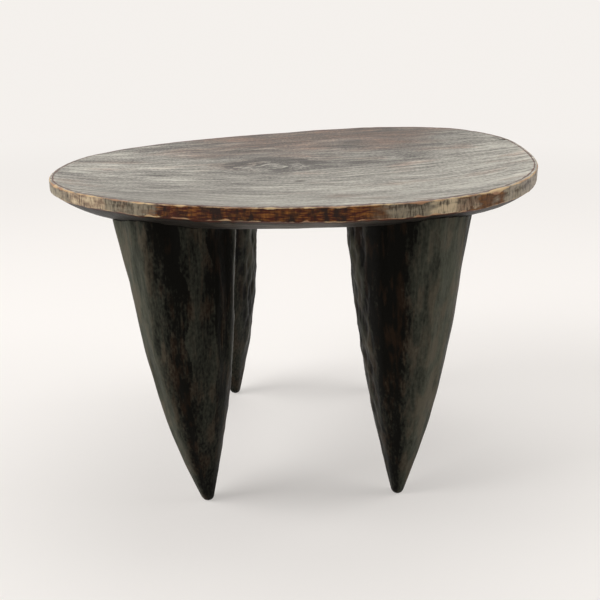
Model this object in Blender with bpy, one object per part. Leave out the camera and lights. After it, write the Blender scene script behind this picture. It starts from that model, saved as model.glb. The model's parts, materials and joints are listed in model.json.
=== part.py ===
"""A carved wooden stool: an oval, slightly dished seat on four tapering legs.

The seat is one slab with a thin rim and a wide bevel under it. Each leg is a tusk-shaped
post, adzed to soft flats, scribed to the seat's underside and held there by a round tenon
that is part of the leg and fits a blind mortise. Units are metres, +Z is up, +X runs along
the seat's length, and the origin lies on the floor under the middle of the seat.
"""

import math

import bmesh
import bpy
from mathutils import Matrix, Vector

# Seat outline
SEAT_LENGTH = 0.480
SEAT_DEPTH = 0.400
OUTLINE_EXPONENT = 2.4
OUTLINE_TAPER = -0.04

# Seat heights: the rim is a little higher at the ends, leans up to the right and has some wind
RIM_HEIGHT = 0.3157
END_LIFT = 0.0034
SIDE_LEAN = 0.033
BACK_LEAN = 0.006
RIM_WIND = 0.009

# Seat section
SEAT_THICKNESS = 0.0257
RIM_THICKNESS = 0.0125
RIM_SWELL = 0.0022
EDGE_ROUND = 0.0018
DISH_DEPTH = 0.006
DISH_POWER = 2.5
BEVEL_WIDTH = 0.028
BEVEL_BELLY = 1.5
UNDERSIDE_HEIGHT = RIM_HEIGHT - SEAT_THICKNESS

# Leg profile, from the foot up: a blunt tip, then one curve that leaves it with this slope.
# The slope at the curve's upper end is each leg's own.
FOOT_FLAT_RADIUS = 0.003
TIP_RADIUS = 0.0052
TIP_HEIGHT = 0.0035
TIP_SLOPE = 0.28
TIP_REACH = 0.128
HEAD_REACH = 0.128

# Adzed flats round each leg
FLAT_COUNT = 10
FLAT_SHARE = 0.9
FLAT_UNEVENNESS = 0.16

# Leg to seat joint
TENON_RADIUS = 0.022
MORTISE_COVER = 0.007
FIT_GAP = 0.0003
TENON_LENGTH = SEAT_THICKNESS - DISH_DEPTH - MORTISE_COVER

# Mesh steps
RIM_STEPS = 96
DISH_STEPS = 9
ROUND_STEPS = 3
BEVEL_STEPS = 5
LEG_SIDES = 33
LEG_STEPS = 16
TENON_SIDES = 40

# Each leg: how far its head's edge stays in from the seat's end and side, the head's radius and
# slope, how far its foot stands from under the head's middle, and the turn of its flats
LEGS = {
    "front_left_leg": {
        "end": -1, "end_inset": 0.0745, "side": -1, "side_inset": 0.025,
        "radius": 0.0540, "head_slope": 0.093, "foot_shift": (0.0195, -0.005), "turn": 0.1,
    },
    "front_right_leg": {
        "end": 1, "end_inset": 0.0865, "side": -1, "side_inset": 0.0235,
        "radius": 0.0565, "head_slope": 0.118, "foot_shift": (0.002, -0.0025), "turn": 0.9,
    },
    "rear_left_leg": {
        "end": -1, "end_inset": 0.1000, "side": 1, "side_inset": 0.0455,
        "radius": 0.0505, "head_slope": 0.086, "foot_shift": (0.019, 0.016), "turn": 1.7,
    },
    "rear_right_leg": {
        "end": 1, "end_inset": 0.0630, "side": 1, "side_inset": 0.0450,
        "radius": 0.0510, "head_slope": 0.090, "foot_shift": (-0.007, 0.014), "turn": 2.6,
    },
}

SEAT_COLOUR = (0.110, 0.078, 0.055, 1.0)
LEG_COLOUR = (0.022, 0.018, 0.014, 1.0)


def clear_scene():
    for old in list(bpy.data.objects):
        bpy.data.objects.remove(old)


def wood(name, colour, roughness):
    """A plain Principled material of one wood finish."""
    material = bpy.data.materials.new(name)
    material.use_nodes = True
    shader = material.node_tree.nodes["Principled BSDF"]
    shader.inputs["Base Color"].default_value = colour
    shader.inputs["Roughness"].default_value = roughness
    shader.inputs["Metallic"].default_value = 0.0
    return material


def add_object(name, shape, material=None):
    """Makes an object of a bmesh, with its normals out and its round faces smooth."""
    bmesh.ops.recalc_face_normals(shape, faces=shape.faces)
    mesh = bpy.data.meshes.new(name)
    shape.to_mesh(mesh)
    shape.free()
    mesh.shade_smooth()
    mesh.set_sharp_from_angle(angle=math.radians(35))
    made = bpy.data.objects.new(name, mesh)
    bpy.context.scene.collection.objects.link(made)
    if material:
        mesh.materials.append(material)
    return made


def hide_tool(tool):
    """Marks a cutter, which shapes other pieces and is no piece itself."""
    tool.hide_render = True
    tool.display_type = "WIRE"
    return tool


def cut_or_join(piece, operation, tool):
    step = piece.modifiers.new(f"{operation.lower()}_{tool.name}", "BOOLEAN")
    step.operation = operation
    step.solver = "EXACT"
    step.object = tool


def skin_rings(rings):
    """A closed bmesh through rings of equal point count, from the first to the last, with flat ends."""
    shape = bmesh.new()
    loops = [[shape.verts.new(point) for point in ring] for ring in rings]
    for upper, lower in zip(loops, loops[1:]):
        for i in range(len(upper)):
            j = (i + 1) % len(upper)
            shape.faces.new((upper[i], upper[j], lower[j], lower[i]))
    shape.faces.new(loops[0])
    shape.faces.new(loops[-1])
    return shape


def rim_point(turn):
    """A point of the seat's outline: a squared oval, a little deeper towards its left end."""
    across, along = math.cos(turn), math.sin(turn)
    reach = (abs(across) ** OUTLINE_EXPONENT + abs(along) ** OUTLINE_EXPONENT) ** (-1 / OUTLINE_EXPONENT)
    taper = 1 + OUTLINE_TAPER * reach * across
    return Vector((SEAT_LENGTH / 2 * reach * across, SEAT_DEPTH / 2 * reach * along * taper))


def rim_height(x, y):
    """The height of the rim's upper edge over a point, carried on across the whole seat."""
    end_share, side_share = 2 * x / SEAT_LENGTH, 2 * y / SEAT_DEPTH
    lean = SIDE_LEAN * x + BACK_LEAN * y
    return RIM_HEIGHT + END_LIFT * end_share**2 + lean + RIM_WIND * end_share * side_share


def rim_thickness(x):
    """The rim's upright face is thicker towards the right end."""
    return RIM_THICKNESS + RIM_SWELL * 2 * x / SEAT_LENGTH


def inset(turn, distance):
    """A point of the outline moved in towards the middle."""
    edge = rim_point(turn)
    return edge * (1 - distance / edge.length)


def dish_ring(turns, share):
    """A ring of the hollowed top, at a share of the way from the middle to the rim's rounded edge."""
    ring = []
    for turn in turns:
        x, y = inset(turn, EDGE_ROUND) * share
        hollow = DISH_DEPTH * (1 - share**DISH_POWER)
        ring.append((x, y, rim_height(x, y) - hollow))
    return ring


def edge_ring(turns, quarter, lower):
    """A ring of the rim's rounded upper or lower edge, as quarter goes from 0 to 1 down the edge."""
    angle = quarter * math.pi / 2
    ring = []
    for turn in turns:
        if lower:
            x, y = inset(turn, EDGE_ROUND * (1 - math.cos(angle)))
            depth = rim_thickness(x) - EDGE_ROUND * (1 - math.sin(angle))
        else:
            x, y = inset(turn, EDGE_ROUND * (1 - math.sin(angle)))
            depth = EDGE_ROUND * (1 - math.cos(angle))
        ring.append((x, y, rim_height(x, y) - depth))
    return ring


def bevel_ring(turns, share):
    """A ring of the bevel that runs in from the rim's lower edge to the flat underside."""
    ring = []
    for turn in turns:
        start = inset(turn, EDGE_ROUND)
        x, y = inset(turn, EDGE_ROUND + share * (BEVEL_WIDTH - EDGE_ROUND))
        upper = rim_height(*start) - rim_thickness(start.x)
        fall = 1 - (1 - share) ** BEVEL_BELLY
        ring.append((x, y, upper + fall * (UNDERSIDE_HEIGHT - upper)))
    return ring


def seat_shape():
    """The seat's slab, before its mortises are cut."""
    turns = [2 * math.pi * i / RIM_STEPS for i in range(RIM_STEPS)]
    rings = [dish_ring(turns, (i + 1) / DISH_STEPS) for i in range(DISH_STEPS)]
    rings += [edge_ring(turns, (i + 1) / ROUND_STEPS, lower=False) for i in range(ROUND_STEPS)]
    rings += [edge_ring(turns, i / ROUND_STEPS, lower=True) for i in range(ROUND_STEPS + 1)]
    rings += [bevel_ring(turns, (i + 1) / BEVEL_STEPS) for i in range(BEVEL_STEPS)]
    shape = skin_rings(rings)
    ends = [face for face in shape.faces if len(face.verts) == RIM_STEPS]
    top = max(ends, key=lambda face: face.calc_center_median().z)
    hub = bmesh.ops.poke(shape, faces=[top])["verts"][0]
    hub.co.z = rim_height(0, 0) - DISH_DEPTH
    return shape


def head_middle(leg):
    """Where a leg's head is centred under the seat."""
    x = leg["end"] * (SEAT_LENGTH / 2 - leg["end_inset"] - leg["radius"])
    y = leg["side"] * (SEAT_DEPTH / 2 - leg["side_inset"] - leg["radius"])
    return Vector((x, y))


def leg_profile(leg):
    """(radius, height) up a leg's side, from the foot's flat to well inside the seat's slab."""
    tip = Vector((TIP_RADIUS, TIP_HEIGHT))
    head = Vector((leg["radius"], UNDERSIDE_HEIGHT))
    rise = Vector((leg["head_slope"], 1))
    low_handle = tip + Vector((TIP_SLOPE, 1)) * TIP_REACH
    high_handle = head - rise * HEAD_REACH
    points = [Vector((FOOT_FLAT_RADIUS, 0))]
    for i in range(LEG_STEPS + 1):
        t = i / LEG_STEPS
        u = 1 - t
        points.append(u**3 * tip + 3 * u**2 * t * low_handle + 3 * u * t**2 * high_handle + t**3 * head)
    points.append(head + rise * SEAT_THICKNESS / 2)
    return points


def flat_factor(angle, turn):
    """How far the adzed flats bring a leg's side in from a plain circle at an angle."""
    uneven = angle + FLAT_UNEVENNESS * (math.sin(2 * angle + turn) + math.sin(3 * angle - 2 * turn)) / 2
    flat = 2 * math.pi / FLAT_COUNT
    off_middle = (uneven + turn) % flat - flat / 2
    chord = math.cos(flat / 2) / math.cos(off_middle)
    return 1 - FLAT_SHARE * (1 - chord)


def leg_shape(leg):
    """A leg's tusk-shaped post, running on above the underside until it is scribed off."""
    head = head_middle(leg)
    foot = head + Vector(leg["foot_shift"])
    rings = []
    for radius, height in leg_profile(leg):
        centre = foot.lerp(head, height / UNDERSIDE_HEIGHT)
        ring = []
        for i in range(LEG_SIDES):
            angle = 2 * math.pi * i / LEG_SIDES
            side = radius * flat_factor(angle, leg["turn"])
            ring.append((centre.x + side * math.cos(angle), centre.y + side * math.sin(angle), height))
        rings.append(ring)
    return skin_rings(rings)


def peg_shape(leg, gap):
    """A leg's tenon, or its mortise with a gap all round, as a peg reaching as far below the joint."""
    reach, radius = TENON_LENGTH + gap, TENON_RADIUS + gap
    shape = bmesh.new()
    place = Matrix.Translation((*head_middle(leg), UNDERSIDE_HEIGHT))
    bmesh.ops.create_cone(
        shape, cap_ends=True, segments=TENON_SIDES, radius1=radius, radius2=radius, depth=2 * reach, matrix=place
    )
    return shape


def build_seat(material):
    """The seat, with one blind mortise over each leg."""
    seat = add_object("seat", seat_shape(), material)
    for name, leg in LEGS.items():
        cut_or_join(seat, "DIFFERENCE", hide_tool(add_object(f"{name}_mortise", peg_shape(leg, FIT_GAP))))


def build_legs(material):
    """The four legs, each scribed to the seat's underside and given its tenon."""
    scribe = hide_tool(add_object("seat_scribe", seat_shape()))
    scribe.location.z = -FIT_GAP
    for name, leg in LEGS.items():
        piece = add_object(name, leg_shape(leg), material)
        cut_or_join(piece, "DIFFERENCE", scribe)
        cut_or_join(piece, "UNION", hide_tool(add_object(f"{name}_tenon", peg_shape(leg, 0))))


def main():
    clear_scene()
    build_seat(wood("worn_brown_hardwood", SEAT_COLOUR, 0.5))
    build_legs(wood("blackened_hardwood", LEG_COLOUR, 0.55))


main()
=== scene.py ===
"""Dresses a carved wooden stool: its weathered seat, its blackened legs and a plain stage."""

import json
import math
from functools import partial

import bpy
import numpy as np
from mathutils import Matrix, Vector, noise


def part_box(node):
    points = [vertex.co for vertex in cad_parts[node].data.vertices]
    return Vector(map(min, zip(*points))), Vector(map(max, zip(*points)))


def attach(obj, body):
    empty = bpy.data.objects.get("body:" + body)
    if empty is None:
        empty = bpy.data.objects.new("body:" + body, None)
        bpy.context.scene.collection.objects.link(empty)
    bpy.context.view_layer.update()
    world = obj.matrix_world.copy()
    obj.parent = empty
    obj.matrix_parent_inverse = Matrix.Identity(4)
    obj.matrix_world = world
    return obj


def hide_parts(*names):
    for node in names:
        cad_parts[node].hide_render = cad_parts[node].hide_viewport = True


bl_info = {
    "name": "Carved Stool",
    "version": (1, 0, 0),
    "blender": (4, 5, 0),
    "location": "3D View > Sidebar > Stool",
    "description": "Builds the seat, the legs and the stage of a hand-carved wooden stool",
    "category": "Object",
}

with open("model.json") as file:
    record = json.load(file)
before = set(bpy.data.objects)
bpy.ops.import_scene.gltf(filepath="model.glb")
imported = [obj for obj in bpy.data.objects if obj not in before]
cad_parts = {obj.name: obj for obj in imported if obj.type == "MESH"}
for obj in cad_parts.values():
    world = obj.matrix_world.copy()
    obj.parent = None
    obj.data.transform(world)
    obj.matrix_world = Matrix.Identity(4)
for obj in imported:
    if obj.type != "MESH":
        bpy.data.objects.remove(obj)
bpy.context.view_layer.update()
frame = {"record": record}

SEAT_LOW, SEAT_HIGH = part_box("seat")

# Each leg's head in plan and its radius, the slope of its side there, how far it bows to the right, the
# turn of its flats, and the directions in degrees of its rough side and of the side that is rubbed most
# and takes a painted highlight
LEGS = {
    "front_left_leg": {
        "head": (-0.1115, -0.121), "radius": 0.0526, "head_slope": 0.085, "bow": -0.0022,
        "turn": -0.2, "rough_side": 25, "rubbed_side": 204,
    },
    "front_right_leg": {
        "head": (0.0985, -0.120), "radius": 0.0565, "head_slope": 0.118, "bow": 0.0013,
        "turn": 0.72, "rough_side": 180, "rubbed_side": 307,
    },
    "rear_left_leg": {
        "head": (-0.0895, 0.104), "radius": 0.0505, "head_slope": 0.086, "bow": 0.0,
        "turn": 1.7, "rough_side": -20, "rubbed_side": 150,
    },
    "rear_right_leg": {
        "head": (0.126, 0.104), "radius": 0.0510, "head_slope": 0.090, "bow": 0.0010,
        "turn": 2.6, "rough_side": 200, "rubbed_side": 35,
    },
}

# Chips in the rim's edges: the angle from the front, half the width in degrees, and the depth
UPPER_CHIPS = (
    (48.0, 3.6, 0.0022), (27.5, 1.6, 0.0009), (-63.0, 9.0, 0.0007), (-84.0, 1.5, 0.0007),
    (118.0, 1.8, 0.0010), (151.0, 2.6, 0.0013), (-140.0, 2.2, 0.0012), (-166.0, 1.4, 0.0008),
)
LOWER_CHIPS = (
    (-34.5, 1.6, 0.0016), (-27.5, 2.4, 0.0012), (-17.5, 1.2, 0.0018), (0.3, 1.4, 0.0013),
    (13.5, 1.2, 0.0012), (26.8, 1.5, 0.0014), (31.0, 1.6, 0.0018), (38.5, 1.2, 0.0013),
    (84.0, 1.6, 0.0014), (131.0, 2.0, 0.0016), (168.0, 1.4, 0.0014), (-158.0, 2.2, 0.0015),
    (-108.0, 1.6, 0.0012),
)

# Dents in the top: place in plan, way in degrees, half length, half width and depth
DENTS = (
    (0.003, -0.072, 8, 0.0065, 0.0036, 0.0012),
    (0.229, 0.0535, -50, 0.0130, 0.0022, 0.0018),
)

# The knot in the top: its place, and half its length and half its width in millimetres
KNOT_PLACE = (-0.02208, 0.00806, 0)
KNOT_LENGTH = 32
KNOT_WIDTH = 26

# Half the length of the ovals that the top's grain follows, and the width of a growth ring in millimetres
GRAIN_REACH = 0.31
RING_MM = 11

# Radius of the circle on which what is drawn along the rim is measured
HOOP_RADIUS = 0.2

# Colours round the rim by the angle from the front, as names of the finish's colours
RIM_ZONES = (
    (-180, "rim_brown"), (-150, "rim_brown"), (-132, "rim_tan"), (-104, "rim_grey"), (-61, "rim_grey"),
    (-55, "rim_tan"), (-47, "rim_tan"), (-43, "rim_grey"), (-37, "rim_grey"), (-32, "rim_brown"),
    (10, "rim_brown"), (16, "rim_umber"), (21, "rim_grey"), (29, "rim_grey"), (33, "rim_cream"),
    (38, "rim_tan"), (40, "rim_umber"), (48, "rim_umber"), (52, "rim_grey"), (56, "rim_pale"),
    (78, "rim_pale"), (96, "rim_grey"), (124, "rim_tan"), (146, "rim_brown"), (180, "rim_brown"),
)

# How far each of those is stained, from bare wood to oiled
RIM_STAINS = {
    "rim_tan": 0.0, "rim_cream": 0.0, "rim_grey": 0.4, "rim_pale": 0.4, "rim_umber": 0.8, "rim_brown": 1.0,
}

# The seat's hand-made unevenness: how far each kind strays in metres, and its sizes in millimetres
UNEVEN = {
    "outline": (0.0007, (55, 55, 55)),
    "upper edge": (0.0005, (38, 38, 38)),
    "lower edge": (0.0008, (30, 30, 30)),
    "lower nicks": (0.0005, (7, 7, 7)),
    "top": (0.0006, (75, 45, 50)),
    "top grain": (0.00015, (60, 7, 150)),
    "top scoops": (0.0007, (40, 15, 60)),
    "bevel": (0.0006, (26, 26, 26)),
}

# Adze cuts along the rim: their length in millimetres and their depth, with the least and the most of each,
# as shares
RIM_CUT_MM = 15.0
RIM_CUT_LENGTHS = (0.5, 1.5)
RIM_CUT_DEPTH = 0.00022
RIM_CUT_DEPTHS = (0.3, 1.4)

# How suddenly, towards the border of the top, the upper edge's unevenness comes in and the top's own fades
EDGE_POWER = 12
TOP_POWER = 10

# The rounding of the rim's lower edge, as a share of the upper edge's
LOWER_ROUND = 0.7

# Steps that give each seed its own noise on the seat and on a leg, and its own tones of a leg's flats
SEED_STEP = 7.31
LEG_SEED_STEP = 3.7
FLAT_SEED_STEP = 62

# Repeats of the flats' sway across and up a leg, and where a corner's middle lies, as a share of a flat
FLAT_SWAYS = (0.9, 0.9, 4.5)
CORNER_MIDDLE = 0.19

# Points round the seat's outline, rings on each of its surfaces, and where the top's finer rings begin
RIM_POINTS = 640
TOP_RINGS = 56
BORDER_RINGS = 16
ROUND_RINGS = 6
FACE_RINGS = 9
BEVEL_RINGS = 22
UNDER_RINGS = 24
BORDER_SHARE = 0.94

# Points round a leg, rings up it and on its ends, points on its profile, on each rounded corner of its
# flats, and round a peg
LEG_SIDES = 300
LEG_RINGS = 250
END_RINGS = 4
PROFILE_POINTS = 96
CORNER_POINTS = 8
PEG_SIDES = 96

# Angle between two faces, in degrees, above which their edge is shown sharp
SHARP_ANGLE = 50

# What the finishes read at each point. On the seat: how far it lies past the rim's upper and lower edges,
# along the surface, and how deep the chip and the dent there are. On a leg: how far its tool marks stand
# out, how squarely it faces the rough side and the side that is rubbed and takes a painted highlight, and
# the tone of its flat, which is painted light. Lengths are in millimetres.
SEAT_MARKS = ("upper_edge", "lower_edge", "chip", "dent")
LEG_MARKS = ("marks", "facing", "rubbed", "flat")

# The lights: the stage's property with each one's power, its width and its place, and the point they face
LIGHTS = {
    "key_light": ("key_power", 1.6, (-2.2, -0.5, 1.9)),
    "fill_light": ("fill_power", 1.6, (2.3, 0.0, 1.6)),
    "back_light": ("back_power", 1.8, (0.1, 0.8, 2.2)),
}
LIGHT_AIM = Vector((0, 0, 0.2))

# The floor: points round it, how far out it starts to fade and is gone, and its share of glow at the start
FLOOR_POINTS = 96
FLOOR_FADE = (0.5, 2.4)
FLOOR_GLOW = 0.45

# The kinds of node that are used most, and the factors that leave a point its place in plan
MATH = "ShaderNodeMath"
VECTOR = "ShaderNodeVectorMath"
RANGE = "ShaderNodeMapRange"
MIX = "ShaderNodeMix"
NOISE = "ShaderNodeTexNoise"
CELLS = "ShaderNodeTexVoronoi"
SPLIT = "ShaderNodeSeparateXYZ"
JOIN = "ShaderNodeCombineXYZ"
IN_PLAN = (1, 1, 0)


def linear(hex_colour):
    """An sRGB hex colour as linear RGBA."""
    channels = [int(hex_colour[i : i + 2], 16) / 255 for i in (1, 3, 5)]
    return (*[c / 12.92 if c <= 0.04045 else ((c + 0.055) / 1.055) ** 2.4 for c in channels], 1.0)


def per_mm(*sizes):
    """Scales that turn metres into repeats of a pattern of these sizes in millimetres."""
    return tuple(1000 / size for size in sizes)


def connect(value, socket):
    """Links a node's first live output, or an output, to a socket, or sets the socket to a plain value."""
    if isinstance(value, bpy.types.Node):
        value = next(output for output in value.outputs if output.enabled)
    if isinstance(value, bpy.types.NodeSocket):
        socket.id_data.links.new(value, socket)
    else:
        socket.default_value = value


def add_node(tree, kind, inputs=(), operation=None, stops=(), **settings):
    """Adds a node, makes its settings, and sets or links its inputs, by place or by name."""
    node = tree.nodes.new(kind)
    if operation:
        node.operation = operation
    for name, value in settings.items():
        setattr(node, name, value)
    for index, (position, colour) in enumerate(stops):
        elements = node.color_ramp.elements
        element = elements[index] if index < 2 else elements.new(position)
        element.position = position
        element.color = colour
    sockets = [socket for socket in node.inputs if socket.enabled]
    pairs = inputs.items() if isinstance(inputs, dict) else enumerate(inputs)
    for key, value in pairs:
        connect(value, node.inputs[key] if isinstance(key, str) else sockets[key])
    return node


def number(name, description, default, unit="NONE", subtype="NONE"):
    """A property that holds a number."""
    return bpy.props.FloatProperty(
        name=name, description=description, default=default, unit=unit, subtype=subtype
    )


def metres(name, description, default):
    """A property that holds a length."""
    return number(name, description, default, unit="LENGTH")


def tint(name, description, hex_colour):
    """A property that holds a colour."""
    return bpy.props.FloatVectorProperty(
        name=name, description=description, default=linear(hex_colour), subtype="COLOR", size=4
    )


class StoolSeat(bpy.types.PropertyGroup):
    """Sizes of the seat's slab."""

    length: metres("Length", "Along X", SEAT_HIGH.x - SEAT_LOW.x)
    depth: metres("Depth", "Along Y", 0.400)
    squareness: number("Squareness", "Exponent of the oval outline, 2 for an ellipse", 2.4)
    taper: number("Taper", "Share of depth lost towards the right end", 0.04)
    rim_height: metres("Rim height", "Upper edge at mid length", 0.3157)
    end_lift: metres("End lift", "Rise of the rim at both ends", 0.0034)
    side_lean: number("Side lean", "Slope of the rim up to the right", 0.033)
    back_lean: number("Back lean", "Slope of the rim up to the back", 0.006)
    wind: metres("Wind", "Twist of the rim at its corners", 0.009)
    thickness: metres("Thickness", "Rim's upper edge to the underside", 0.0257)
    rim_thickness: metres("Rim thickness", "Height of the rim's upright face", 0.0125)
    rim_swell: metres("Rim swell", "Thickening of the rim to the right", 0.0022)
    edge_round: metres("Edge round", "Radius worn onto the rim's edges", 0.0018)
    dish_depth: metres("Dish depth", "Hollow at the middle of the top", 0.006)
    dish_power: number("Dish power", "How suddenly the hollow rises at its border", 2.5)
    bevel_width: metres("Bevel width", "Bevel under the rim", 0.028)
    bevel_belly: number("Bevel belly", "Roundness of the bevel, 1 for a flat one", 1.5)
    seed: bpy.props.IntProperty(name="Seed", description="Of the hand-made unevenness", default=7)


class StoolLegs(bpy.types.PropertyGroup):
    """Sizes shared by the four legs, each of them an input of the tree that carves them."""

    foot_flat: metres("Foot flat", "Radius of the flat under a leg", 0.003)
    tip_radius: metres("Tip radius", "Radius of a leg just above its tip", 0.0052)
    nose_height: metres("Nose height", "Height of the rounding of a tip", 0.005)
    tip_slope: number("Tip slope", "Growth of the radius above the tip", 0.28)
    tip_reach: metres("Tip reach", "How far the tip's slope bears up the side", 0.128)
    head_reach: metres("Head reach", "How far the head's slope bears down the side", 0.128)
    flat_count: bpy.props.IntProperty(name="Flats", description="Adzed flats round a leg", default=10)
    flat_reach: number("Flat reach", "Corners of the flats, as a share of the radius", 1.035)
    flat_jitter: number("Flat jitter", "Unevenness of the flats, as a share of the radius", 0.03)
    flat_sway: number("Flat sway", "Wandering of the flats up a leg, as a share of a turn", 0.12)
    flat_round: number("Flat round", "Rounding of the flats' edges, as a share of the radius", 0.38)
    flute_depth: metres("Flute depth", "Depth of the long shallow cuts", 0.0042)
    scallop_depth: metres("Scallop depth", "Depth of the short adze cuts", 0.0009)
    rough_depth: metres("Rough depth", "Depth of the cuts left on the inner side", 0.0030)
    tenon_radius: metres("Tenon radius", "Round tenon on a leg's head", 0.022)
    tenon_length: metres("Tenon length", "Above the underside", 0.0127)
    fit_gap: metres("Fit gap", "Between a leg and the seat", 0.0003)


class StoolFinish(bpy.types.PropertyGroup):
    """Colours of the wood and its wear, some of which also colour painted light and shade."""

    patina_pale: tint("Pale patina", "Weathered top", "#cdc9bd")
    patina_dark: tint("Dark patina", "Streaks of the top", "#332e28")
    # Deep patina also darkens the top's middle, partly as dirt and partly as painted shade
    patina_deep: tint("Deep patina", "Short dark strokes on the top", "#3a332c")
    heart_brown: tint("Heart brown", "Bare patches towards the back", "#b48c76")
    rim_tan: tint("Rim tan", "Bare wood of the rim", "#96806a")
    rim_grey: tint("Rim grey", "Weathered wood of the rim", "#8d8370")
    # Rim brown also colours the dark line along the rim's edges, partly dirt and partly painted shade
    rim_brown: tint("Rim brown", "Oiled wood of the rim", "#471b0b")
    rim_umber: tint("Rim umber", "Half-oiled rim", "#64452c")
    rim_amber: tint("Rim amber", "Grain of the oiled wood", "#9a622a")
    rim_dark: tint("Rim dark", "Dirt in the rim's cuts", "#1f1009")
    rim_pale: tint("Rim pale", "Bleached wood of the rim", "#9a9083")
    rim_cream: tint("Rim cream", "Bare flecks of the rim", "#d2bf9e")
    worn_rose: tint("Worn rose", "Rubbed edges, less worn", "#a97f60")
    worn_gold: tint("Worn gold", "Rubbed edges and chips", "#d8ba8c")
    under_grey: tint("Under grey", "Bevel and underside", "#665d53")
    under_dark: tint("Under dark", "Streaks of the underside", "#3c352e")
    # Leg black also colours the painted shade under the rim's edge and the darkening about the legs' heads
    leg_black: tint("Leg black", "Blackened legs", "#0b0a07")
    leg_brown: tint("Leg brown", "Wood showing through the black", "#2f2014")
    # Leg grey and leg warm also colour the painted highlight on the rubbed side and the painted glints on
    # the rough crests
    leg_grey: tint("Leg grey", "Rubbed crests of the legs", "#5c5e52")
    leg_warm: tint("Leg warm", "Browner rubbed wood", "#625a4d")


class StoolStage(bpy.types.PropertyGroup):
    """The camera's place, the floor and the lights."""

    camera_place: bpy.props.FloatVectorProperty(
        name="Camera place", description="Eye point", default=(-0.0363, -0.8683, 0.4703),
        subtype="XYZ", unit="LENGTH",
    )
    camera_pitch: number("Camera pitch", "Downward look", math.radians(19.34), subtype="ANGLE")
    camera_yaw: number("Camera yaw", "Turn to the right", math.radians(2.8), subtype="ANGLE")
    focal_share: number("Focal share", "Focal length as a share of the picture's width", 850 / 600)
    floor_colour: tint("Floor", "Floor, background and even light", "#f9f5f1")
    floor_reach: metres("Floor reach", "Radius of the floor", 12.0)
    backdrop: number("Backdrop", "Level of the background, 1 for white", 0.96)
    world_strength: number("World", "Strength of the even light", 0.20)
    key_power: number("Key", "Large light at the left", 53, unit="POWER")
    fill_power: number("Fill", "Large light at the right", 26, unit="POWER")
    back_power: number("Back", "Large light above the back", 24, unit="POWER")


def outline(size):
    """The seat's outline in plan: a squared oval, a little shallower towards its right end."""
    turns = np.linspace(0, 2 * math.pi, RIM_POINTS, endpoint=False)
    across, along = np.cos(turns), np.sin(turns)
    power = size.squareness
    reach = (np.abs(across) ** power + np.abs(along) ** power) ** (-1 / power)
    x = size.length / 2 * reach * across
    y = size.depth / 2 * reach * along * (1 - size.taper * reach * across)
    return np.stack([x, y], axis=1)


def rim_height(size, plan):
    """The height of the rim's upper edge over points in plan, carried on across the whole seat."""
    x, y = plan[:, 0], plan[:, 1]
    end_share, side_share = 2 * x / size.length, 2 * y / size.depth
    lean = size.side_lean * x + size.back_lean * y
    return size.rim_height + size.end_lift * end_share**2 + lean + size.wind * end_share * side_share


def rim_thickness(size, plan):
    """The height of the rim's upright face, which is thicker towards the right end."""
    return size.rim_thickness + size.rim_swell * 2 * plan[:, 0] / size.length


def inset(edge, distance):
    """Points of the outline moved in towards the middle."""
    reach = np.linalg.norm(edge, axis=1)
    return edge * (1 - distance / reach)[:, None]


def flat(plan):
    """Points in plan with a height of 0."""
    return np.column_stack([plan, np.zeros(len(plan))])


def scoop(point):
    """Noise from 0 in the middle of a hollow to about 1 at its ridge, as short adze strokes leave them."""
    return noise.voronoi(point)[0][0]


def uneven(kind, points, seed, pattern=noise.noise):
    """How far a kind of unevenness strays at points, by a pattern of noise."""
    stray, sizes = UNEVEN[kind]
    start = (seed + list(UNEVEN).index(kind)) * SEED_STEP
    scaled = points * np.array(per_mm(*sizes)) + start
    return stray * np.array([pattern(point) for point in scaled])


def adze_cuts(edge, seed):
    """Shallow hollows side by side round the rim, as an adze leaves them, with a ridge between each two."""
    steps = np.linalg.norm(np.roll(edge, -1, axis=0) - edge, axis=1)
    run = np.concatenate([[0], np.cumsum(steps)[:-1]])
    draw = np.random.default_rng(seed)
    count = round(steps.sum() * 1000 / RIM_CUT_MM)
    ends = np.concatenate([[0], np.cumsum(draw.uniform(*RIM_CUT_LENGTHS, count))])
    ends *= steps.sum() / ends[-1]
    depths = RIM_CUT_DEPTH * draw.uniform(*RIM_CUT_DEPTHS, count)
    cut = np.clip(np.searchsorted(ends, run, side="right") - 1, 0, count - 1)
    share = (run - ends[cut]) / (ends[cut + 1] - ends[cut])
    return depths[cut] * 4 * share * (1 - share)


def chipped(angles, chips):
    """How deep the chips are at angles round an edge."""
    depth = np.zeros_like(angles)
    for middle, half, deep in chips:
        off = (np.degrees(angles) - middle + 180) % 360 - 180
        depth += deep * np.clip(1 - (off / half) ** 2, 0, 1) ** 2
    return depth


def dented(plan):
    """How deep the dents in the top are at points in plan."""
    depth = np.zeros(plan.shape[:-1])
    for x, y, way, half_length, half_width, deep in DENTS:
        turn = math.radians(way)
        off = plan - np.array((x, y))
        along = off @ np.array((math.cos(turn), math.sin(turn))) / half_length
        aside = off @ np.array((-math.sin(turn), math.cos(turn))) / half_width
        depth += deep * np.clip(1 - along**2 - aside**2, 0, 1)
    return depth


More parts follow.
